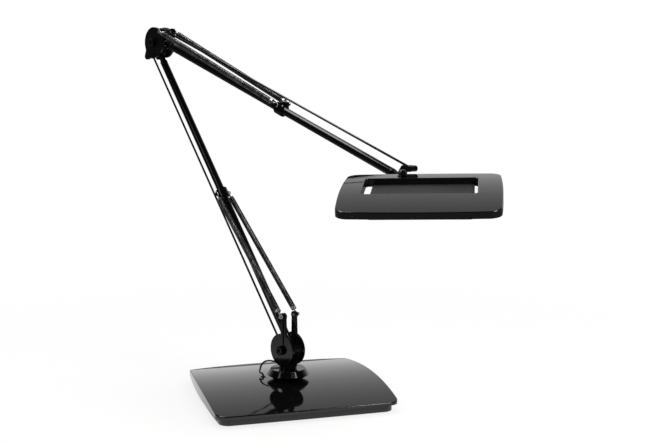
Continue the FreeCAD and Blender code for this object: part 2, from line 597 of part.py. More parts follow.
hornWeb = [("0", "size.disc_r*0.9"), ("size.disc_r*0.9", "0"), ("size.horn_x + size.horn_r*0.707", "size.horn_z - size.horn_r*0.707"),
           ("size.horn_x - size.horn_r*0.707", "size.horn_z + size.horn_r*0.707")]
lugX = "-2*size.pin_x"
lugZ = "(size.elbow_tube_z - 2*size.pin_z)"
lugWeb = [("-size.disc_r*0.86", "-size.disc_r*0.4"), ("0", "-size.disc_r*0.9"),
          (lugX + " + 2", lugZ + " - 4.5"), (lugX + " - 4.5", lugZ + " + 2")]
elbowDiscs = [("size.horn_x", "size.horn_z", "size.horn_r"), (lugX, lugZ, "5")]
elbowHoles = [("0", "0", "size.screw_r"), ("size.horn_x", "size.horn_z", "size.stud_r")]
elbowFront = sidePlate("elbow_front_plate", True, [hornWeb, lugWeb], elbowDiscs, elbowHoles)
elbowRear = sidePlate("elbow_rear_plate", False, [hornWeb, lugWeb], elbowDiscs, elbowHoles)
keep(elbowFront, "elbow_front_plate", elbowFrame)
keep(elbowRear, "elbow_rear_plate", elbowFrame)
elbowCore = bodyNamed("elbow_core")
ringSector(elbowCore, 62, 125, "size.core_r", "size.core_in")
keep(elbowCore, "elbow_core", elbowFrame)
crossPin("elbow_tube_pin", 0, of("elbow_tube_z"), of("tube_pin_r"), inner, elbowFrame)
crossPin("elbow_rod_pin", -2 * of("pin_x"), of("elbow_tube_z") - 2 * of("pin_z"), of("rod_pin_r"), inner, elbowFrame)
socketScrew("elbow_pivot_screw", of("half_wide"), of("half_wide") + of("hex_thick") + 1, elbowFrame)
hexNut("elbow_pivot_nut", of("half_wide"), elbowFrame)
hornPin = Part.makeCylinder(of("stud_r"), 2 * of("horn_end"), V(of("horn_x"), -of("horn_end"), of("horn_z")), yAxis)
for side in (-1, 1):
    capAt = V(of("horn_x"), side * (of("horn_end") - 1), of("horn_z"))
    hornPin = hornPin.fuse(Part.makeCylinder(of("stud_cap"), 1.0, capAt, V(0, side, 0)))
group("elbow_spring_pin", [hornPin.removeSplitter()], elbowFrame)

# ---- upper arm -----------------------------------------------------------------------------------

tubeNode("upper_tube", tubeStart, "size.upper_long - " + tubeStart, upperFrame, "size.tube_lift")


def upperEnd(label, pivot, way, holeRadius):
    """The upper tube's ends: as the lower ones, with the eye below the tube's axis."""
    body = bodyNamed(label)
    eyeLift = "-size.tongue_half"
    padDisc(body, "XZ_Plane", eyeLift, "2*size.tongue_half", "0", pivot, "size.eye_r")
    step = "%s %s " % (pivot, "+" if way > 0 else "-")
    padCorners(body, "XZ_Plane", eyeLift, "2*size.tongue_half",
               [("-size.tongue_slim - 1.6", pivot), ("size.tongue_slim", pivot),
                ("-size.tube_lift + size.tongue_slim + 1.5", step + "size.shoulder"),
                ("-size.tube_lift - size.tongue_slim - 1.5", step + "size.shoulder")])
    low = step + "size.shoulder" if way > 0 else step + "size.shoulder - size.shoulder_long"
    padDisc(body, "XY_Plane", low, "size.shoulder_long", "-size.tube_lift", "0", "size.tube_r")
    low = step + "size.shoulder" if way > 0 else step + "size.shoulder - size.shoulder_long - size.spigot_long"
    padDisc(body, "XY_Plane", low, "size.shoulder_long + size.spigot_long", "-size.tube_lift", "0", "size.tube_bore")
    hole(body, "XZ_Plane", "0", pivot, holeRadius)
    return keep(body, label, upperFrame)


upperEnd("upper_tube_foot", "0", 1, "size.screw_r + size.run_fit")
upperEnd("upper_tube_head", "size.upper_long", -1, "size.tube_pin_r + size.run_fit")
upperRodShift = Turn(yAxis, -(90 + of("drop"))).multVec(V(of("horn_x"), 0, of("horn_z")))
rodNode("upper_rod", upperRodShift, of("upper_long"), upperFrame)
bracketNode("upper_bracket", "size.up_bracket_at", "size.up_pin_lift", upperFrame, "size.tube_lift")

# ---- springs ---------------------------------------------------------------------------------------


def arcs(a, aWay, b, bWay):
    """Two tangent arcs from a to b."""
    span = b - a
    both = aWay + bWay
    square = both.dot(both) - 4
    drag = span.dot(both)
    reach = (drag - math.sqrt(drag * drag - square * span.dot(span))) / square
    first = a + aWay * reach
    second = b - bWay * reach
    middle = (first + second) * 0.5
    made = []
    for start, apex, end in ((a, first, middle), (middle, second, b)):
        chord = (start + end) * 0.5
        rise = apex - chord
        half = (end - start).Length / 2
        radius = half * reach / rise.Length
        bends.append(radius)
        top = chord + rise.normalize() * (radius * (1 - half / reach))
        made.append(Part.Arc(start, top, end).toShape())
    return made


bends = []


def windSpring(length, turns):
    """An open coil along Z between two flat ends, with straight tails square to them."""
    radius, wire = of("coil_r"), of("wire_r")
    tail = 2 * wire
    pitch = (length - 2 * tail - 4.0) / turns
    slope = math.atan2(pitch, 2 * math.pi * radius)
    lead = 60.0
    stations = [(V(radius, 0, tail), V(0, 0, 1))]
    count = int(turns * 2)
    for k in range(count):
        angle = math.radians(lead + 180.0 * k)
        at = V(radius * math.cos(angle), radius * math.sin(angle), tail + 2.4 + pitch * 0.5 * k)
        way = V(-math.sin(angle) * math.cos(slope), math.cos(angle) * math.cos(slope), math.sin(slope))
        stations.append((at, way))
    endAngle = math.radians(lead + 180.0 * (count - 1) + 60)
    stations.append((V(radius * math.cos(endAngle), radius * math.sin(endAngle), length - tail), V(0, 0, 1)))
    edges = [Part.LineSegment(V(radius, 0, 0), stations[0][0]).toShape()]
    for (a, aWay), (b, bWay) in zip(stations, stations[1:]):
        edges += arcs(a, aWay, b, bWay)
    last = stations[-1][0]
    edges.append(Part.LineSegment(last, last + V(0, 0, tail)).toShape())
    path = Part.Wire(edges)
    ring = Part.Wire([Part.makeCircle(wire, V(radius, 0, 0), zAxis)])
    solid = path.makePipeShell([ring], True, False)
    points = path.discretize(Number=1400)
    skip = int(len(points) * 6 * wire / path.Length) + 2
    least = min((points[i] - points[j]).Length for i in range(0, len(points), 3)
                for j in range(i + skip, min(len(points), i + 160)))
    print("spring: volume %.1f, section x length %.1f, least gap to itself %.2f, least bend %.2f"
          % (solid.Volume, math.pi * wire ** 2 * path.Length, least - 2 * wire, min(bends)))
    return solid


def hookSolid(at, way):
    """A hook's ring round its pin at `at`, its shank along `way` and the plug in the coil's end."""
    ringR = of("stud_r") + of("run_fit") + of("hook_wire")
    ringAxis = yAxis
    ring = Part.makeTorus(ringR, of("hook_wire"), at, ringAxis)
    shank = rodBetween(at + way * (ringR), at + way * (of("hook_reach")), of("hook_wire"))
    plug = Part.makeCylinder(of("plug_r"), of("plug_long"), at + way * (of("hook_reach") - 0.5), way)
    return ring.fuse([shank, plug]).removeSplitter()


def springSet(prefix, near, far, turns, frame):
    """The pair of springs from near to far (front side; the rear one is its mirror), with their hooks."""
    nearHooks, farHooks = [], []
    for side, word in ((-1, "front"), (1, "rear")):
        a = V(near.x, side * near.y, near.z)
        b = V(far.x, side * far.y, far.z)
        way = (b - a).normalize()
        nearHooks.append(hookSolid(a, way))
        farHooks.append(hookSolid(b, way * -1))
        tip = of("hook_reach") - 0.5 + of("plug_long")
        coil = windSpring((b - a).Length - 2 * tip, turns)
        spring = doc.addObject("Part::Feature", prefix + "_spring_" + word)
        spring.Shape = coil
        keep(spring, prefix + "_spring_" + word, frame * Place(a + way * tip, Turn(zAxis, way)))
    group(prefix + "_spring_hooks", nearHooks, frame)
    group(prefix + "_spring_end_hooks", farHooks, frame)


lowFar = lowerAt.multVec(V(0, 0, of("low_bracket_at")))
springSet("lower", V(of("stud_x"), of("stud_out"), of("stud_z")), V(lowFar.x, of("hook_out"), lowFar.z), 24, hubFrame)
upFar = Turn(yAxis, 90 + of("drop")).multVec(V(-of("tube_lift") - of("up_pin_lift"), 0, of("up_bracket_at")))
springSet("upper", V(of("horn_x"), of("horn_out"), of("horn_z")), V(upFar.x, of("hook_out"), upFar.z), 24, elbowFrame)

# ---- head ------------------------------------------------------------------------------------------

# level link: two cheeks round the tube's and the rod's eyes, a foot under the shell and the swivel's boss
reachX = "size.head_reach"
link = bodyNamed("head_link")
cheek = "(size.cheek_out - size.cheek_in)"
for lift in ("size.cheek_in", "-size.cheek_out"):
    padDisc(link, "XZ_Plane", lift, cheek, "0", "0", "size.link_r")
    padCorners(link, "XZ_Plane", lift, cheek, [
        ("-size.link_r", "0"), ("-size.link_r", "size.link_foot_low"), ("size.throat_x", "size.link_foot_low"),
        ("size.throat_x", "size.horn_z - size.link_rod_r"), ("size.horn_x", "size.horn_z - size.link_rod_r"),
        ("size.horn_x", "size.horn_z + size.link_rod_r"), ("size.horn_x - 12", "size.horn_z + size.link_rod_r")])
    padDisc(link, "XZ_Plane", lift, cheek, "size.horn_x", "size.horn_z", "size.link_rod_r")
padCorners(link, "XZ_Plane", "-size.cheek_out", "2*size.cheek_out", [
    ("-size.link_r", "size.link_foot_low"), (reachX, "size.link_foot_low"), (reachX, "size.link_foot_top"),
    ("size.throat_x", "size.link_foot_top"), ("size.throat_x", "-size.eye_r - 2"), ("-size.link_r", "-size.eye_r - 2")])
bossLow = "size.link_foot_low"
bossTop = "-size.head_pin_low - size.knuckle_low"
padDisc(link, "XY_Plane", bossLow, "%s - (%s)" % (bossTop, bossLow), reachX, "0", "size.swivel_boss_r")
stubHole = sketchOn(link, "XY_Plane", bossLow)
circle(stubHole, reachX, "0", "size.stub_r + size.run_fit")
blind(link, stubHole, "%s - (%s)" % (bossTop, bossLow), True)
keep(link, "head_link", linkFrame)
crossPin("head_tube_pin", 0, 0, of("tube_pin_r"), of("cheek_in"), linkFrame)
crossPin("head_rod_pin", of("horn_x"), of("horn_z"), of("rod_pin_r"), of("cheek_in"), linkFrame)

# knuckle: turns in the link's boss and carries the tilt pin
knuckle = bodyNamed("head_knuckle")
padDisc(knuckle, "YZ_Plane", "-size.knuckle_half", "2*size.knuckle_half", "0", "0", "size.knuckle_r")
stubTop = "-size.knuckle_low + size.gap"
padDisc(knuckle, "XY_Plane", stubTop, "1.7", "0", "0", "size.knuckle_half - 0.2")
padDisc(knuckle, "XY_Plane", "size.link_foot_low + size.head_pin_low - 1.5",
        "-(size.link_foot_low + size.head_pin_low - 1.5) - 2", "0", "0", "size.stub_r")
hole(knuckle, "YZ_Plane", "0", "0", "size.tilt_pin_r + size.knuckle_room")
keep(knuckle, "head_knuckle", swivelFrame)
clip = bodyNamed("knuckle_clip")
clipLow = "size.link_foot_low + size.head_pin_low - size.gap - 1.1"
clipRing = sketchOn(clip, "XY_Plane", clipLow)
circle(clipRing, "0", "0", "size.stub_r + 2.4")
circle(clipRing, "0", "0", "size.stub_r")
pad(clip, clipRing, "1.1")
keep(clip, "knuckle_clip", swivelFrame)

# shell: a shallow crowned tray, open below, with a window that has its own walls


def shellBlock(name, insets, low, height):
    body = bodyNamed(name)
    sketch = sketchOn(body, "XY_Plane", low)
    inset, number = summed(insets)
    halfX = "(size.shell_wide/2 - size.shell_bow - (%s))" % inset
    halfY = "(size.shell_deep/2 - size.shell_bow - (%s))" % inset
    x = of("shell_wide") / 2 - of("shell_bow") - number
    y = of("shell_deep") / 2 - of("shell_bow") - number
    bowed(sketch, [(-x, -y, 0), (x, -y, 0), (x, y, 0), (-x, y, 0)],
          [("-" + halfX, "-" + halfY), (halfX, "-" + halfY), (halfX, halfY), ("-" + halfX, halfY)], ["shell_bow"] * 4)
    pad(body, sketch, height)
    rounded(body, "size.shell_corner - (%s)" % inset, vertical)
    return body


crownR = (of("shell_deep") ** 2 / 4 + of("crown") ** 2) / (2 * of("crown"))
crownText = "(size.shell_deep^2/4 + size.crown^2)/(2*size.crown)"


def crownRoll(name, radius):
    roll = cylinder(name, radius, "2*size.shell_wide")
    roll.Placement = Place(V(-of("shell_wide"), 0, of("crown") - crownR), Turn(yAxis, 90))
    return roll


def windowBlock(name, grow, low, height):
    body = bodyNamed(name)
    left = "size.window_off - size.window_half - %s" % grow
    right = "size.window_off + size.window_half + %s" % grow
    front = "size.window_front - %s" % grow
    back = "size.window_back + %s" % grow
    padCorners(body, "XY_Plane", low, height, [(left, front), (right, front), (right, back), (left, back)])
    rounded(body, "size.window_round + %s" % grow, vertical)
    return body


shellSkin = combine("Part::MultiCommon", "shell_skin",
                    [shellBlock("shell_block", [], "-size.shell_rim", "size.shell_rim + size.crown + 1"),
                     crownRoll("shell_roll", crownText)])
shellInside = combine("Part::MultiCommon", "shell_inside",
                      [shellBlock("shell_inner_block", ["shell_wall"], "-size.shell_rim - 1",
                                  "size.shell_rim + size.crown + 2"),
                       crownRoll("shell_under_roll", crownText + " - size.shell_wall")])
shellHollow = combine("Part::Cut", "shell_hollow",
                      (shellInside, windowBlock("window_walls", "size.shell_wall", "-size.shell_rim - 2", "30")))
shellTray = combine("Part::Cut", "shell_tray", (shellSkin, shellHollow))
backCut = doc.addObject("Part::Box", "back_rim_cut")
for name, text in (("Length", "size.shell_wide*2"), ("Width", "size.shell_wide"), ("Height", "size.shell_rim + 5")):
    backCut.setExpression(name, text)
backCut.Placement = Place(V(-of("shell_wide"), of("window_back") + of("shell_wall") + 2, -of("back_rim") - of("shell_rim") - 5),
                          Turn())
buttonHole = cylinder("button_hole", "size.button_r + size.gap", "40", Place(V(of("button_x"), of("button_y"), -20), Turn()))
shellCuts = combine("Part::MultiFuse", "shell_cuts", [windowBlock("window", "0", "-20", "40"), backCut, buttonHole])
shellOpen = combine("Part::Cut", "shell_open", (shellTray, shellCuts))
doc.recompute()


def shellTopEdge(edge):
    points = [v.Point for v in edge.Vertexes] + [edge.valueAt((edge.FirstParameter + edge.LastParameter) / 2)]
    onTop = all(abs(math.hypot(p.y, p.z - of("crown") + crownR) - crownR) < 0.02 for p in points)
    nearHole = math.hypot(points[-1].x - of("button_x"), points[-1].y - of("button_y")) < 8
    return onTop and not nearHole


shell = doc.addObject("Part::Fillet", "head_shell")
shell.Base = shellOpen
shell.Edges = [(k + 1, 1.3, 1.3) for k, edge in enumerate(shellOpen.Shape.Edges) if shellTopEdge(edge)]
keep(shell, "head_shell", shellFrame)


def underSkin(y):
    """Height of the shell's underside at depth y, less the seating gap."""
    return math.sqrt((crownR - of("shell_wall")) ** 2 - y * y) - crownR + of("crown") - of("gap")


# lamp housing: tray open below with four posts up to the shell
housing = bodyNamed("lamp_housing")
boxPoints = [("size.box_left", "size.box_front"), ("size.box_right", "size.box_front"),
             ("size.box_right", "size.box_back"), ("size.box_left", "size.box_back")]
padCorners(housing, "XY_Plane", "size.box_low", "size.box_top - size.box_low", boxPoints)
rounded(housing, "5", vertical)
inset = sketchOn(housing, "XY_Plane", "size.box_low")
corners(inset, [("size.box_left + size.box_wall", "size.box_front + size.box_wall"),
                ("size.box_right - size.box_wall", "size.box_front + size.box_wall"),
                ("size.box_right - size.box_wall", "size.box_back - size.box_wall"),
                ("size.box_left + size.box_wall", "size.box_back - size.box_wall")])
blind(housing, inset, "size.box_top - size.box_low - size.box_wall", True)
for sign in ("-", ""):
    padDisc(housing, "XY_Plane", "size.box_top - 0.5", "%.6f - size.box_top + 0.5" % underSkin(of("post_front")),
            sign + "size.post_x", "size.post_front", "size.post_r")
keep(housing, "lamp_housing", shellFrame)

# lugs for the tilt pin, with a strap each to the housing's back wall
lugs = []
for side in (-1, 1):
    x0 = of("lug_in") if side > 0 else -of("lug_in") - of("lug_thick")
    at = V(x0, of("shell_back"), -of("shell_up"))
    eye = Part.makeCylinder(of("lug_r"), of("lug_thick"), at, xAxis)
    top = underSkin(of("shell_back") + of("lug_r"))
    web = Part.makeBox(of("lug_thick"), 2 * of("lug_r"), top + of("shell_up"), at - V(0, of("lug_r"), 0))
    strap = Part.makeBox(of("lug_thick"), of("shell_back") - of("box_back") - 1,
                         6.0, V(x0, of("box_back"), -of("shell_up") - 1))
    lug = eye.fuse([web, strap]).cut(Part.makeCylinder(of("tilt_pin_r"), 30, at - V(10, 0, 0), xAxis))
    lugs.append(lug.removeSplitter())
group("tilt_lugs", lugs, shellFrame)
half = of("lug_in") + of("lug_thick")
tiltPin = Part.makeCylinder(of("tilt_pin_r") - of("run_fit"), 2 * half + 2, V(-half - 1, of("shell_back"), -of("shell_up")), xAxis)
for side in (-1, 1):
    cap = Part.makeCylinder(of("tilt_pin_r") + 1.4, 1.6, V(side * half, of("shell_back"), -of("shell_up")), V(side, 0, 0))
    tiltPin = tiltPin.fuse(cap)
group("tilt_pin", [tiltPin.removeSplitter()], shellFrame)

# light board, and the lens that closes the housing
boardY = (of("box_front") + of("box_back")) / 2
boardTop = of("box_top") - of("box_wall")
boardX = (of("box_left") + of("box_right")) / 2
board = Part.makeBox(of("board_wide"), of("board_deep"), of("board_thick"),
                     V(boardX - of("board_wide") / 2, boardY - of("board_deep") / 2, boardTop - of("board_thick")))
group("light_board", [board], shellFrame)
lens = Part.makeBox(of("box_right") - of("box_left") - 2 * of("box_wall"), of("box_back") - of("box_front") - 2 * of("box_wall"),
                    of("lens_thick"), V(of("box_left") + of("box_wall"), of("box_front") + of("box_wall"), of("box_low")))
group("lamp_lens", [lens], shellFrame)

# power button and its bezel on the shell's back band
crownAt = math.sqrt(crownR ** 2 - of("button_y") ** 2) - crownR + of("crown")
buttonFrame = shellFrame * Place(V(of("button_x"), of("button_y"), crownAt), Turn(xAxis, -math.degrees(math.asin(of("button_y") / crownR))))
bezel = turned("button_bezel", [("size.button_r + 0.3", "0.35"), ("size.bezel_r", "0.35"), ("size.bezel_r", "0.9"),
                                ("size.bezel_r - 0.6", "1.4"), ("size.button_r + 0.3", "1.4")])
keep(bezel, "button_bezel", buttonFrame)
button = turned("power_button", [("0", "-size.shell_wall - 1"), ("size.button_r + 1.6", "-size.shell_wall - 1"),
                                 ("size.button_r + 1.6", "-size.shell_wall - 0.4"), ("size.button_r", "-size.shell_wall - 0.4"),
                                 ("size.button_r", "size.button_high*0.55"), ("size.button_r*0.86", "size.button_high*0.8"),
                                 ("size.button_r*0.55", "size.button_high*0.95"), ("0", "size.button_high")])
keep(button, "power_button", buttonFrame)

# ---- lead from the hub's neck into the cover --------------------------------------------------------

leadRoute = [V(-8.0, 15.0, 45.2), V(-14.4, 20.0, 46.8), V(-21.6, 25.3, 47.2), V(-27.6, 29.7, 44.6), V(-30.9, 32.0, 39.4),
             V(-32.6, 31.5, 34.2), V(-34.6, 27.2, 31.6), V(-34.4, 21.6, 31.2), V(-31.7, 16.9, 30.9), V(-31.7, 16.7, 27.5)]


def tubeAlong(points, radius):
    """Straight runs joined by arcs as large as the runs allow."""
    edges = []
    radii = []
    here = points[0]
    for k in range(1, len(points) - 1):
        before = points[k - 1] - points[k]
        after = points[k + 1] - points[k]
        turn = math.pi - before.getAngle(after)
        cut = 0.45 * min(before.Length, after.Length)
        bend = cut / math.tan(turn / 2)
        radii.append(bend)
        u, w = before.normalize(), after.normalize()
        start, end = points[k] + u * cut, points[k] + w * cut
        inward = (u + w).normalize()
        centre = points[k] + inward * (bend / math.cos(turn / 2))
        edges.append(Part.LineSegment(here, start).toShape())
        edges.append(Part.Arc(start, centre - inward * bend, end).toShape())
        here = end
    edges.append(Part.LineSegment(here, points[-1]).toShape())
    path = Part.Wire(edges)
    way = points[1] - points[0]
    ring = Part.Wire([Part.makeCircle(radius, points[0], way)])
    solid = path.makePipeShell([ring], True, False)
    print("lead: length %.1f, volume %.1f, section x length %.1f, radii %s"
          % (path.Length, solid.Volume, math.pi * radius ** 2 * path.Length, [round(r, 1) for r in radii]))
    return solid


group("hub_lead", [tubeAlong(leadRoute, of("lead_r"))], Place())
leadWay = (leadRoute[1] - leadRoute[0]).normalize()
leadGland = Part.makeCylinder(of("lead_gland_r"), 7.0, leadRoute[0] - leadWay * 7.0, leadWay)
grommet = Part.makeCylinder(of("grommet_r"), 1.4, V(grommetAt.x, grommetAt.y, 25.8))
doc.recompute()
coreWorld = core.Shape.copy()
leadGland = leadGland.cut(coreWorld)
leadGland = max(leadGland.Solids, key=lambda item: item.Volume)
group("lead_gland", [leadGland], Place())
stem = Part.makeCylinder(of("grommet_r") - 1 - of("run_fit"), 6.0, V(grommetAt.x, grommetAt.y, 21.2))
coverWorld = cover.Shape.copy()
grommet = max(grommet.fuse(stem).cut(coverWorld).Solids, key=lambda item: item.Volume)
group("lead_grommet", [grommet], Place())

# ---- checks and files ------------------------------------------------------------------------------

doc.recompute()
bad = [item.Name for item in doc.Objects if "Invalid" in item.State or "Error" in item.State]
for thing in finished:
    if thing.Shape.isNull() or not thing.Shape.isValid():
        bad.append(thing.Label)
if bad:
    raise RuntimeError("these did not build: " + ", ".join(bad))

os.makedirs("parts", exist_ok=True)
for thing in finished:
    thing.Shape.exportStep("parts/%s.step" % thing.Label)
    print("%-22s %d solid(s) %10.1f mm3" % (thing.Label, len(thing.Shape.Solids), thing.Shape.Volume))
print(len(finished), "nodes")
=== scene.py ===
import math

import bmesh
import bpy
from mathutils import Matrix, Vector


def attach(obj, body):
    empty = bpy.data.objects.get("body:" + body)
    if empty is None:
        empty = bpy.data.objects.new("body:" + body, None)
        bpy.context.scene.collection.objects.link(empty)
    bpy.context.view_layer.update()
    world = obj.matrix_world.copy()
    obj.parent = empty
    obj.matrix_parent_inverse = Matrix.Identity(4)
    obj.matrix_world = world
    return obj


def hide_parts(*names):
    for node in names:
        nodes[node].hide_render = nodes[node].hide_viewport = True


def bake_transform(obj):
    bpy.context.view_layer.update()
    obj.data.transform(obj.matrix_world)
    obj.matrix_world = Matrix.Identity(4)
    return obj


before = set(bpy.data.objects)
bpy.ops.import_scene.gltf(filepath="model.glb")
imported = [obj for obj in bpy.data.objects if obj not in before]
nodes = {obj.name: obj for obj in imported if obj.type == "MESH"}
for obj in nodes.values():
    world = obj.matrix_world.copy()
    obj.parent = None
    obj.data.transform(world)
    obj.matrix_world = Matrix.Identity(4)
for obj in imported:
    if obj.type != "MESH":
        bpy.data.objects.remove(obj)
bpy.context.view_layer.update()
mm = 0.001
print("frame loaded,", len(nodes), "nodes")


# camera: the photograph's view
cameraPlace = {"location": (-0.3712, -1.4507, 0.4395), "pitch": 82.67, "yaw": -16.73, "lens": 59.55}

lensData = bpy.data.cameras.new("studioCamera")
lensData.lens = cameraPlace["lens"]
lensData.sensor_width = 36.0
studioCamera = bpy.data.objects.new("studioCamera", lensData)
studioCamera.location = cameraPlace["location"]
studioCamera.rotation_euler = (math.radians(cameraPlace["pitch"]), 0.0, math.radians(cameraPlace["yaw"]))
bpy.context.scene.collection.objects.link(studioCamera)
bpy.context.scene.camera = studioCamera


# the lead from the hub down into the base
leadFacts = {
    "diameter": 2.6 * mm,
    "length": 55.5 * mm,
    "route": [(-8.0, 15.0, 45.2), (-14.4, 20.0, 46.8), (-21.6, 25.3, 47.2), (-27.6, 29.7, 44.6),
              (-30.9, 32.0, 39.4), (-32.6, 31.5, 34.2), (-34.6, 27.2, 31.6), (-34.4, 21.6, 31.2),
              (-31.7, 16.9, 30.9), (-31.7, 16.7, 27.5)],
}

leadCurve = bpy.data.curves.new("hub_lead_sheath", "CURVE")
leadCurve.dimensions = "3D"
leadCurve.bevel_depth = 1.0           # times each point's radius, which carries the size
leadCurve.bevel_resolution = 5
leadCurve.resolution_u = 24
leadCurve.use_fill_caps = True
leadLine = leadCurve.splines.new("NURBS")
leadLine.points.add(len(leadFacts["route"]) - 1)
for point, place in zip(leadLine.points, leadFacts["route"]):
    point.co = (place[0] * mm, place[1] * mm, place[2] * mm, 1.0)
    point.radius = leadFacts["diameter"] / 2
leadLine.order_u = 3                 # after the points, or it stays straight
leadLine.use_endpoint_u = True
hubLead = bpy.data.objects.new("hub_lead_sheath", leadCurve)
bpy.context.scene.collection.objects.link(hubLead)
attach(hubLead, "hub")
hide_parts("hub_lead")
print("lead laid")


# colours and nodes
# sRGB hex to the linear colour that Blender's sockets take
def linearFromHex(text):
    parts = [int(text[i:i + 2], 16) / 255 for i in (1, 3, 5)]
    return tuple(c / 12.92 if c <= 0.04045 else ((c + 0.055) / 1.055) ** 2.4 for c in parts) + (1.0,)


# one node with its settings; an input given as a socket is linked, any other is set
def addNode(tree, kind, inputs=(), **settings):
    node = tree.nodes.new(kind)
    for name, value in settings.items():
        setattr(node, name, value)
    for name, value in dict(inputs).items():
        if isinstance(value, bpy.types.NodeSocket):
            tree.links.new(value, node.inputs[name])
        else:
            node.inputs[name].default_value = value
    return node


# an empty material with its shader and the Object coordinates that its patterns read
def newFinish(name, **shaderInputs):
    material = bpy.data.materials.new(name)
    material.use_nodes = True
    tree = material.node_tree
    tree.nodes.clear()
    socketValues = {key.replace("_", " "): value for key, value in shaderInputs.items()}
    shader = addNode(tree, "ShaderNodeBsdfPrincipled", socketValues)
    addNode(tree, "ShaderNodeOutputMaterial", {"Surface": shader.outputs["BSDF"]})
    place = addNode(tree, "ShaderNodeTexCoord").outputs["Object"]
    return material, tree, shader, place


# soft noise whose blotches are about sizeMm across
def cloudy(tree, place, sizeMm, detail=3.0):
    return addNode(tree, "ShaderNodeTexNoise", {"Vector": place, "Scale": 1000.0 / sizeMm, "Detail": detail,
                                                "Roughness": 0.55}).outputs["Fac"]


# one range of a pattern's values stretched to another
def between(tree, value, low, high, fromLow=0.3, fromHigh=0.7):
    return addNode(tree, "ShaderNodeMapRange", {"Value": value, "From Min": fromLow, "From Max": fromHigh,
                                                "To Min": low, "To Max": high}).outputs["Result"]


# two colours mixed by a pattern
def twoTone(tree, value, hexDark, hexLight):
    mix = addNode(tree, "ShaderNodeMix", {0: value, 6: linearFromHex(hexDark), 7: linearFromHex(hexLight)},
                  data_type="RGBA")
    return mix.outputs[2]


# height pattern turned to bumps depthMm deep
def relief(tree, height, depthMm, strength=1.0):
    inputs = {"Height": height, "Distance": depthMm * mm, "Strength": strength}
    return addNode(tree, "ShaderNodeBump", inputs).outputs["Normal"]


# sockets linked to the shader by name
def wire(tree, shader, **outputs):
    for name, socket in outputs.items():
        tree.links.new(socket, shader.inputs[name.replace("_", " ")])


# finishes
def polishedBlackAbs():
    # high-gloss moulded ABS: mirror reflections with a faint flow waviness, a little dust and wiping haze
    material, tree, shader, place = newFinish("polished_black_abs", IOR=1.53, Metallic=0.0)
    flow = cloudy(tree, place, 26.0, 1.0)                      # slow waviness of a big moulding
    wipes = addNode(tree, "ShaderNodeTexNoise", {
        "Vector": addNode(tree, "ShaderNodeMapping", {"Vector": place, "Scale": (1.0, 9.0, 3.0),
                                                      "Rotation": (0.0, 0.0, 0.35)}).outputs["Vector"],
        "Scale": 28.0, "Detail": 5.0}).outputs["Fac"]             # cloth wipes, 4 mm apart
    dust = addNode(tree, "ShaderNodeTexVoronoi", {"Vector": place, "Scale": 1000.0 / 7.0}).outputs["Distance"]
    speck = between(tree, dust, 1.0, 0.0, 0.045, 0.085)          # specks drawn at 0.6 mm so that they show
    wire(tree, shader,
         Base_Color=twoTone(tree, speck, "#0b0b0c", "#3a3a38"),
         Roughness=addNode(tree, "ShaderNodeMath", {0: between(tree, wipes, 0.035, 0.10),
                                                    1: between(tree, speck, 0.0, 0.45, 0.0, 1.0)},
                           operation="ADD").outputs[0],
         Normal=relief(tree, flow, 0.05, 0.35))
    return material


def grainedBlackAbs():
    # spark-eroded ABS: even satin grain, slightly paler where the grain's tops are rubbed
    material, tree, shader, place = newFinish("grained_black_abs", IOR=1.52)
    grain = cloudy(tree, place, 1.1, 4.0)                      # 0.4 mm grain, drawn coarser to show
    wear = cloudy(tree, place, 38.0, 3.0)
    wire(tree, shader,
         Base_Color=twoTone(tree, between(tree, wear, 0.0, 1.0), "#121212", "#1d1d1c"),
         Roughness=between(tree, grain, 0.34, 0.55),
         Normal=relief(tree, grain, 0.12, 0.5))
    return material


def mattBlackAbs():
    # matt ABS of the lamp box: soft dark grey with heat-dulled patches
    material, tree, shader, place = newFinish("matt_black_abs", IOR=1.5)
    grain = cloudy(tree, place, 1.4, 4.0)
    dull = cloudy(tree, place, 55.0, 2.0)
    wire(tree, shader,
         Base_Color=twoTone(tree, between(tree, dull, 0.0, 1.0), "#141312", "#211f1e"),
         Roughness=between(tree, grain, 0.5, 0.72),
         Normal=relief(tree, grain, 0.15, 0.45))
    return material


def stovedBlackEnamel():
    # stoved enamel on steel: deep gloss, fine orange peel and hairline scuffs along the arm
    material, tree, shader, place = newFinish("stoved_black_enamel", IOR=1.5, Specular_IOR_Level=0.32)
    peel = cloudy(tree, place, 2.2, 2.0)                       # orange peel, 2 mm
    scuffs = addNode(tree, "ShaderNodeTexNoise", {
        "Vector": addNode(tree, "ShaderNodeMapping", {"Vector": place, "Scale": (1.0, 1.0, 0.12),
                                                      "Rotation": (0.35, 0.2, 0.0)}).outputs["Vector"],
        "Scale": 420.0, "Detail": 4.0}).outputs["Fac"]
    wire(tree, shader,
         Base_Color=twoTone(tree, between(tree, scuffs, 0.0, 1.0, 0.62, 0.85), "#080808", "#1c1c1b"),
         Roughness=between(tree, scuffs, 0.06, 0.18, 0.4, 0.75),
         Normal=relief(tree, peel, 0.035, 0.35))
    return material


def blackOxideSteel():
    # oiled black oxide: dark satin metal, brighter where a key or thumb has rubbed it
    material, tree, shader, place = newFinish("black_oxide_steel", Metallic=1.0)
    rubbed = cloudy(tree, place, 5.0, 5.0)
    tooth = cloudy(tree, place, 0.5, 3.0)
    wire(tree, shader,
         Base_Color=twoTone(tree, between(tree, rubbed, 0.0, 1.0, 0.52, 0.74), "#1e1e20", "#5c5c5a"),
         Roughness=between(tree, tooth, 0.22, 0.42),
         Normal=relief(tree, tooth, 0.02, 0.35))
    return material


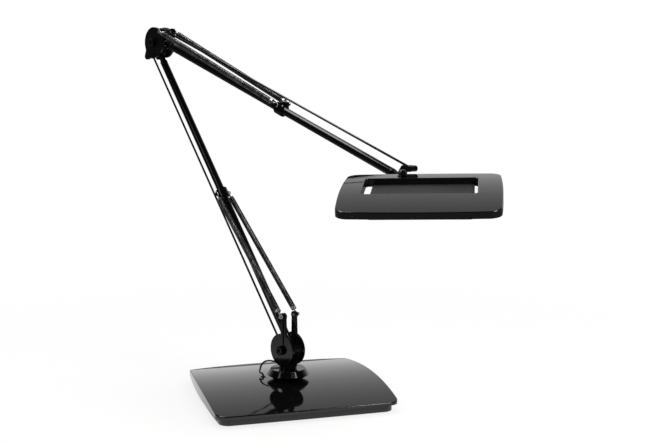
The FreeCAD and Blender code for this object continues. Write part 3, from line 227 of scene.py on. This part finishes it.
def brightZincPlate():
    # bright zinc plate: pale grey metal with a faint warm and blue tint and small crystals
    material, tree, shader, place = newFinish("bright_zinc_plate", Metallic=1.0)
    tint = cloudy(tree, place, 7.0, 3.0)
    crystals = addNode(tree, "ShaderNodeTexVoronoi", {"Vector": place, "Scale": 1000.0 / 1.2}
                       ).outputs["Distance"]
    wire(tree, shader,
         Base_Color=twoTone(tree, between(tree, tint, 0.0, 1.0), "#b4bac2", "#cfcbbd"),
         Roughness=between(tree, crystals, 0.16, 0.32, 0.0, 0.6),
         Normal=relief(tree, crystals, 0.01, 0.3))
    return material


def drawnSpringWire():
    # patented spring wire, oil blackened: dark steel, paler where the turns have rubbed dry
    material, tree, shader, place = newFinish("drawn_spring_wire", Metallic=1.0)
    oil = cloudy(tree, place, 16.0, 4.0)
    drawing = cloudy(tree, place, 0.45, 2.0)
    wire(tree, shader,
         Base_Color=twoTone(tree, between(tree, oil, 0.0, 1.0), "#303031", "#77787a"),
         Roughness=between(tree, drawing, 0.2, 0.38),
         Normal=relief(tree, drawing, 0.015, 0.4))
    return material


def rawCastIron():
    # sand-cast iron: rough dark grey with rust-brown freckles
    material, tree, shader, place = newFinish("raw_cast_iron", Metallic=0.7)
    sand = cloudy(tree, place, 1.3, 5.0)
    rust = cloudy(tree, place, 9.0, 6.0)
    wire(tree, shader,
         Base_Color=twoTone(tree, between(tree, rust, 0.0, 1.0, 0.55, 0.75), "#3c3b3a", "#5a3d2a"),
         Roughness=between(tree, sand, 0.6, 0.85),
         Normal=relief(tree, sand, 0.3, 0.7))
    return material


def nonSlipRubberSheet():
    # pressed rubber sheet: dull black with a 3 mm dimple pattern and grey dust in the dimples
    material, tree, shader, place = newFinish("non_slip_rubber_sheet", IOR=1.52)
    dimples = addNode(tree, "ShaderNodeTexVoronoi", {"Vector": place, "Scale": 1000.0 / 3.0, "Randomness": 0.0},
                      ).outputs["Distance"]
    wire(tree, shader,
         Base_Color=twoTone(tree, between(tree, dimples, 0.0, 1.0, 0.1, 0.5), "#2a2a28", "#161616"),
         Roughness=between(tree, cloudy(tree, place, 12.0), 0.75, 0.92),
         Normal=relief(tree, dimples, 0.3, 0.8))
    return material


def mouldedRubber():
    # moulded rubber trim: soft black with a slight bloom
    material, tree, shader, place = newFinish("moulded_rubber", IOR=1.52)
    bloom = cloudy(tree, place, 6.0, 4.0)
    wire(tree, shader,
         Base_Color=twoTone(tree, between(tree, bloom, 0.0, 1.0), "#131313", "#222120"),
         Roughness=between(tree, bloom, 0.5, 0.7),
         Normal=relief(tree, cloudy(tree, place, 0.8), 0.04, 0.5))
    return material


def turnedAcetal():
    # turned natural acetal: waxy off-white with fine turning lines about the spindle
    material, tree, shader, place = newFinish("turned_acetal", IOR=1.48, Subsurface_Weight=0.15,
                                              Subsurface_Scale=0.002)
    lines = addNode(tree, "ShaderNodeTexWave", {"Vector": place, "Scale": 320.0, "Distortion": 0.6},
                    bands_direction="Z").outputs["Fac"]
    wire(tree, shader,
         Base_Color=twoTone(tree, between(tree, cloudy(tree, place, 10.0), 0.0, 1.0), "#cfcabd", "#dfdbd0"),
         Roughness=between(tree, lines, 0.32, 0.48, 0.0, 1.0),
         Normal=relief(tree, lines, 0.02, 0.4))
    return material


def prismaticAcrylic():
    # opal acrylic with 2 mm prisms moulded in: milky white that glints in small cells
    material, tree, shader, place = newFinish("prismatic_acrylic", IOR=1.49, Transmission_Weight=0.35)
    prisms = addNode(tree, "ShaderNodeTexVoronoi", {"Vector": place, "Scale": 1000.0 / 2.0, "Randomness": 0.0},
                     distance="CHEBYCHEV").outputs["Distance"]
    wire(tree, shader,
         Base_Color=twoTone(tree, between(tree, cloudy(tree, place, 40.0), 0.0, 1.0), "#dfe1dd", "#efefeb"),
         Roughness=between(tree, prisms, 0.12, 0.3, 0.0, 0.5),
         Normal=relief(tree, prisms, 0.5, 0.8))
    return material


def whiteSolderResist():
    # white solder resist with rows of yellow phosphor squares, 9 mm apart
    material, tree, shader, place = newFinish("white_solder_resist", IOR=1.5, Coat_Weight=0.3)
    rows = addNode(tree, "ShaderNodeTexBrick", {
        "Vector": addNode(tree, "ShaderNodeMapping", {"Vector": place, "Rotation": (0.0, 0.0, 0.43)}
                          ).outputs["Vector"],
        "Scale": 1.0, "Mortar Size": 3.1 * mm, "Mortar Smooth": 0.05, "Brick Width": 9.0 * mm,
        "Row Height": 9.0 * mm, "Color1": linearFromHex("#d9b64a"), "Color2": linearFromHex("#d2ad3f"),
        "Mortar": linearFromHex("#e4e5e0")}, offset=0.0, squash=1.0)
    wire(tree, shader,
         Base_Color=rows.outputs["Color"],
         Roughness=between(tree, cloudy(tree, place, 2.0), 0.28, 0.42),
         Normal=relief(tree, rows.outputs["Fac"], 0.25, 0.5))
    return material


def softPvcSheath():
    # soft PVC sheath: semi-gloss black with a slight pull-ripple from the extruder
    material, tree, shader, place = newFinish("soft_pvc_sheath", IOR=1.53)
    ripple = cloudy(tree, place, 1.6, 2.0)
    wire(tree, shader,
         Base_Color=twoTone(tree, between(tree, cloudy(tree, place, 8.0), 0.0, 1.0), "#0e0e0e", "#1a1a1a"),
         Roughness=between(tree, ripple, 0.28, 0.44),
         Normal=relief(tree, ripple, 0.05, 0.4))
    return material


finishes = {
    "black_cover": polishedBlackAbs(), "black_tray": grainedBlackAbs(), "black_housing": mattBlackAbs(),
    "black_enamel": stovedBlackEnamel(), "blackened_steel": blackOxideSteel(),
    "zinc_steel": brightZincPlate(), "spring_steel": drawnSpringWire(), "cast_iron": rawCastIron(),
    "soft_pad": nonSlipRubberSheet(), "rubber_trim": mouldedRubber(), "bush_plastic": turnedAcetal(),
    "lens": prismaticAcrylic(), "board": whiteSolderResist(), "lead": softPvcSheath(),
}
for name, piece in nodes.items():
    slot = piece.data.materials[0].name.split(".")[0]
    for index in range(len(piece.data.materials)):
        piece.data.materials[index] = finishes[slot]
hubLead.data.materials.append(finishes["lead"])
print("finishes given to", len(nodes), "nodes")


# tension springs, wound close
springFacts = {"meanRadius": 3.4 * mm, "wire": 1.14 * mm, "pitch": 1.2 * mm, "stepsPerTurn": 20, "wireSides": 6,
               "weld": 0.01 * mm}
springEnds = {
    "lower_spring_front": ("lower", (-14.9405, -2.1692, 124.6938), (-70.7087, 114.7575, 266.622)),
    "lower_spring_rear": ("lower", (10.5367, 10.8121, 124.6938), (-51.2792, 124.6573, 266.622)),
    "upper_spring_front": ("upper", (-131.5882, 227.9234, 507.6811), (-18.4211, 12.3002, 410.9326)),
    "upper_spring_rear": ("upper", (-107.0483, 240.4271, 507.6811), (0.8765, 22.1329, 410.9326)),
}


# a small ring spun once about Z and lifted by the pitch
def oneTurn(pitch):
    steps = springFacts["stepsPerTurn"]
    bm = bmesh.new()
    ring = bmesh.ops.create_circle(bm, segments=springFacts["wireSides"], radius=springFacts["wire"] / 2)
    bmesh.ops.rotate(bm, verts=ring["verts"], matrix=Matrix.Rotation(math.pi / 2, 3, "X"))
    bmesh.ops.translate(bm, verts=ring["verts"], vec=(springFacts["meanRadius"], 0.0, 0.0))
    bmesh.ops.spin(bm, geom=bm.edges[:], cent=(0.0, 0.0, 0.0), axis=(0.0, 0.0, 1.0),
                   dvec=(0.0, 0.0, pitch / steps), angle=2 * math.pi, steps=steps)
    mesh = bpy.data.meshes.new("spring_turn")
    bm.to_mesh(mesh)
    bm.free()
    return mesh


# a close coil between its two plugs: one turn, repeated and welded to the spring's length
def woundSpring(node, near, far):
    start, end = Vector(near) * mm, Vector(far) * mm
    turns = round((end - start).length / springFacts["pitch"])
    pitch = (end - start).length / turns
    spring = bpy.data.objects.new(node + "_coil", oneTurn(pitch))
    bpy.context.scene.collection.objects.link(spring)
    repeat = spring.modifiers.new("turns", "ARRAY")
    repeat.count = turns
    repeat.use_relative_offset = False
    repeat.use_constant_offset = True
    repeat.constant_offset_displace = (0.0, 0.0, pitch)
    repeat.use_merge_vertices = True
    repeat.merge_threshold = springFacts["weld"]
    mesh = bpy.data.meshes.new_from_object(spring.evaluated_get(bpy.context.evaluated_depsgraph_get()))
    spring.modifiers.clear()
    bm = bmesh.new()
    bm.from_mesh(mesh)
    bmesh.ops.holes_fill(bm, edges=[edge for edge in bm.edges if edge.is_boundary])
    bmesh.ops.recalc_face_normals(bm, faces=bm.faces)
    for face in bm.faces:
        face.smooth = True
    bm.to_mesh(mesh)
    bm.free()
    axis = (end - start).normalized()
    mesh.transform(Matrix.Translation(start) @ axis.to_track_quat("Z", "Y").to_matrix().to_4x4())
    mesh.materials.append(finishes["spring_steel"])
    spring.data = mesh
    mesh.name = node + "_coil"
    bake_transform(spring)
    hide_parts(node)
    return spring


for node, (arm, near, far) in springEnds.items():
    coil = woundSpring(node, near, far)
    print("wound", coil.name, len(coil.data.polygons), "faces")


# the dark panel that stands on the lamp box and fills the head's window
headPlace = Matrix(((0.9085, 0.40408, -0.10653, 87.0226 * mm), (-0.41729, 0.89078, -0.17992, -277.7611 * mm),
                    (0.02219, 0.20791, 0.9779, 311.9837 * mm), (0.0, 0.0, 0.0, 1.0)))
panelFacts = {"left": -60.0, "right": 61.0, "front": -21.0, "back": 50.0, "low": -9.6, "top": -5.6,
              "corner": 2.5, "edge": 0.6}


# a block with round upright corners and a small edge round its top, in the head's own frame
def roundedBlock(name, facts):
    size = [(facts[b] - facts[a]) * mm for a, b in (("left", "right"), ("front", "back"), ("low", "top"))]
    middle = [(facts[b] + facts[a]) / 2 * mm for a, b in (("left", "right"), ("front", "back"), ("low", "top"))]
    bm = bmesh.new()
    bmesh.ops.create_cube(bm, size=1.0)
    bmesh.ops.scale(bm, verts=bm.verts, vec=size)
    upright = [e for e in bm.edges if abs(e.verts[0].co.z - e.verts[1].co.z) > size[2] / 2]
    bmesh.ops.bevel(bm, geom=upright, offset=facts["corner"] * mm, segments=5, profile=0.5, affect="EDGES",
                    material=-1)
    topRing = [e for e in bm.edges if all(v.co.z > 0 for v in e.verts)]
    bmesh.ops.bevel(bm, geom=topRing, offset=facts["edge"] * mm, segments=3, profile=0.5, affect="EDGES",
                    material=-1)
    bmesh.ops.translate(bm, verts=bm.verts, vec=middle)
    for face in bm.faces:
        face.smooth = len(face.verts) == 4 and face.calc_area() < 0.0001
    mesh = bpy.data.meshes.new(name)
    bm.to_mesh(mesh)
    bm.free()
    mesh.transform(headPlace)
    block = bpy.data.objects.new(name, mesh)
    bpy.context.scene.collection.objects.link(block)
    return block


windowPanel = roundedBlock("window_panel", panelFacts)
windowPanel.data.materials.append(finishes["black_housing"])
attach(windowPanel, "head")
print("window panel set")


# floor, backdrop and light
softBoxes = {
    "keyLight": {"place": (0.60, -1.03, 1.15), "aim": (0.0, 0.0, 0.05), "size": (0.45, 0.6), "power": 13.0},
    "overhead": {"place": (-0.35, 0.55, 1.9), "aim": (0.0, 0.0, 0.35), "size": (1.3, 0.4), "power": 13.0},
    "sideFill": {"place": (-1.6, -0.5, 0.9), "aim": (0.0, 0.0, 0.3), "size": (0.3, 1.0), "power": 2.5},
}
# the floor's look in reflections is painted: dark grey away from the lamp and a fading glow beside it stand in
# for reflected shade and light
paperSweep = {"half": 4.0, "colour": "#f4f4f2", "reflectedShadeColour": "#1c1c1c",
              "fadeFrom": 0.2, "fadeTo": 1.0, "whiteNear": 0.8,
              "mirrorFrom": 0.16, "mirrorTo": 0.55, "mirrorFar": 0.12}
roomLook = {"farSide": (0.288, 0.958, 0.0), "sideFrom": 0.2, "sideTo": 0.75, "nearGlow": 0.03,
            "highFrom": 0.08, "highTo": 0.85, "highGlow": 0.25, "softGlow": 0.55}

bm = bmesh.new()
bmesh.ops.create_grid(bm, x_segments=8, y_segments=8, size=paperSweep["half"])
floorMesh = bpy.data.meshes.new("studio_floor")
bm.to_mesh(floorMesh)
bm.free()
floor = bpy.data.objects.new("studio_floor", floorMesh)
bpy.context.scene.collection.objects.link(floor)

paper = bpy.data.materials.new("white_paper")
paper.use_nodes = True
tree = paper.node_tree
tree.nodes.clear()
rays = addNode(tree, "ShaderNodeLightPath")
seenThrough = addNode(tree, "ShaderNodeMath", {0: rays.outputs["Is Camera Ray"],
                                               1: rays.outputs["Is Transmission Ray"]}, operation="MAXIMUM")
awayFromLamp = addNode(tree, "ShaderNodeVectorMath", {0: addNode(tree, "ShaderNodeTexCoord").outputs["Object"]},
                       operation="LENGTH")
fade = addNode(tree, "ShaderNodeMapRange", {"Value": awayFromLamp.outputs["Value"],
                                            "From Min": paperSweep["fadeFrom"],
                                            "From Max": paperSweep["fadeTo"],
                                            "To Min": paperSweep["whiteNear"], "To Max": 1.0})
direct = addNode(tree, "ShaderNodeMath", {0: seenThrough.outputs[0], 1: fade.outputs["Result"]},
                 operation="MULTIPLY")
# painted reflection: gloss sees the paper glowing beside the lamp and dimmer further out
mirrorFade = addNode(tree, "ShaderNodeMapRange", {"Value": awayFromLamp.outputs["Value"],
                                                  "From Min": paperSweep["mirrorFrom"],
                                                  "From Max": paperSweep["mirrorTo"],
                                                  "To Min": 1.0, "To Max": paperSweep["mirrorFar"]})
mirrored = addNode(tree, "ShaderNodeMath", {0: rays.outputs["Is Glossy Ray"], 1: mirrorFade.outputs["Result"]},
                   operation="MULTIPLY")
glowing = addNode(tree, "ShaderNodeMath", {0: direct.outputs[0], 1: mirrored.outputs[0]}, operation="ADD")
# painted reflection: a glossy ray that isn't glowing sees the paper painted dark grey, so the floor shows dark
# in the lamp's gloss
lit = addNode(tree, "ShaderNodeMath", {0: 1.0, 1: rays.outputs["Is Glossy Ray"]}, operation="SUBTRACT")
paperColour = addNode(tree, "ShaderNodeMix", {0: lit.outputs[0], 6: linearFromHex(paperSweep["reflectedShadeColour"]),
                                              7: linearFromHex(paperSweep["colour"])}, data_type="RGBA")
body = addNode(tree, "ShaderNodeBsdfDiffuse", {"Color": paperColour.outputs[2]})
glow = addNode(tree, "ShaderNodeEmission", {"Color": (1.0, 1.0, 1.0, 1.0), "Strength": 1.0})
blendPaper = addNode(tree, "ShaderNodeMixShader", {0: glowing.outputs[0], 1: body.outputs[0],
                                                   2: glow.outputs[0]})
addNode(tree, "ShaderNodeOutputMaterial", {"Surface": blendPaper.outputs[0]})
floorMesh.materials.append(paper)

for name, facts in softBoxes.items():
    lampData = bpy.data.lights.new(name, "AREA")
    lampData.shape = "RECTANGLE"
    lampData.size, lampData.size_y = facts["size"]
    lampData.energy = facts["power"]
    lamp = bpy.data.objects.new(name, lampData)
    lamp.location = facts["place"]
    aim = Vector(facts["aim"]) - Vector(facts["place"])
    lamp.rotation_euler = aim.to_track_quat("-Z", "Y").to_euler()
    bpy.context.scene.collection.objects.link(lamp)

# the room that gloss sees: a white backdrop behind the lamp, dimmer overhead and on the near side
room = bpy.data.worlds.new("studioRoom")
room.use_nodes = True
bpy.context.scene.world = room
tree = room.node_tree
tree.nodes.clear()
way = addNode(tree, "ShaderNodeTexCoord").outputs["Generated"]
height = addNode(tree, "ShaderNodeSeparateXYZ", {"Vector": way}).outputs["Z"]
farness = addNode(tree, "ShaderNodeVectorMath", {0: way, 1: roomLook["farSide"]}, operation="DOT_PRODUCT")
backWhite = addNode(tree, "ShaderNodeMapRange", {"Value": farness.outputs["Value"],
                                                 "From Min": roomLook["sideFrom"],
                                                 "From Max": roomLook["sideTo"],
                                                 "To Min": roomLook["nearGlow"], "To Max": 1.0})
overheadDim = addNode(tree, "ShaderNodeMapRange", {"Value": height,
                                                   "From Min": roomLook["highFrom"],
                                                   "From Max": roomLook["highTo"],
                                                   "To Min": 1.0, "To Max": roomLook["highGlow"]})
gloss = addNode(tree, "ShaderNodeMath", {0: backWhite.outputs[0], 1: overheadDim.outputs[0]},
                operation="MULTIPLY")
rays = addNode(tree, "ShaderNodeLightPath")
glossOrThrough = addNode(tree, "ShaderNodeMath", {0: rays.outputs["Is Glossy Ray"],
                                                  1: rays.outputs["Is Transmission Ray"]}, operation="MAXIMUM")
soft = addNode(tree, "ShaderNodeBackground", {"Color": (1.0, 1.0, 1.0, 1.0), "Strength": roomLook["softGlow"]})
mirrored = addNode(tree, "ShaderNodeBackground", {"Color": (1.0, 1.0, 1.0, 1.0), "Strength": gloss.outputs[0]})
white = addNode(tree, "ShaderNodeBackground", {"Color": (1.0, 1.0, 1.0, 1.0), "Strength": 1.0})
inner = addNode(tree, "ShaderNodeMixShader", {0: glossOrThrough.outputs[0], 1: soft.outputs[0],
                                              2: mirrored.outputs[0]})
outer = addNode(tree, "ShaderNodeMixShader", {0: rays.outputs["Is Camera Ray"], 1: inner.outputs[0],
                                              2: white.outputs[0]})
addNode(tree, "ShaderNodeOutputWorld", {"Surface": outer.outputs[0]})
bpy.context.scene.view_settings.view_transform = "Standard"
print("studio lit")
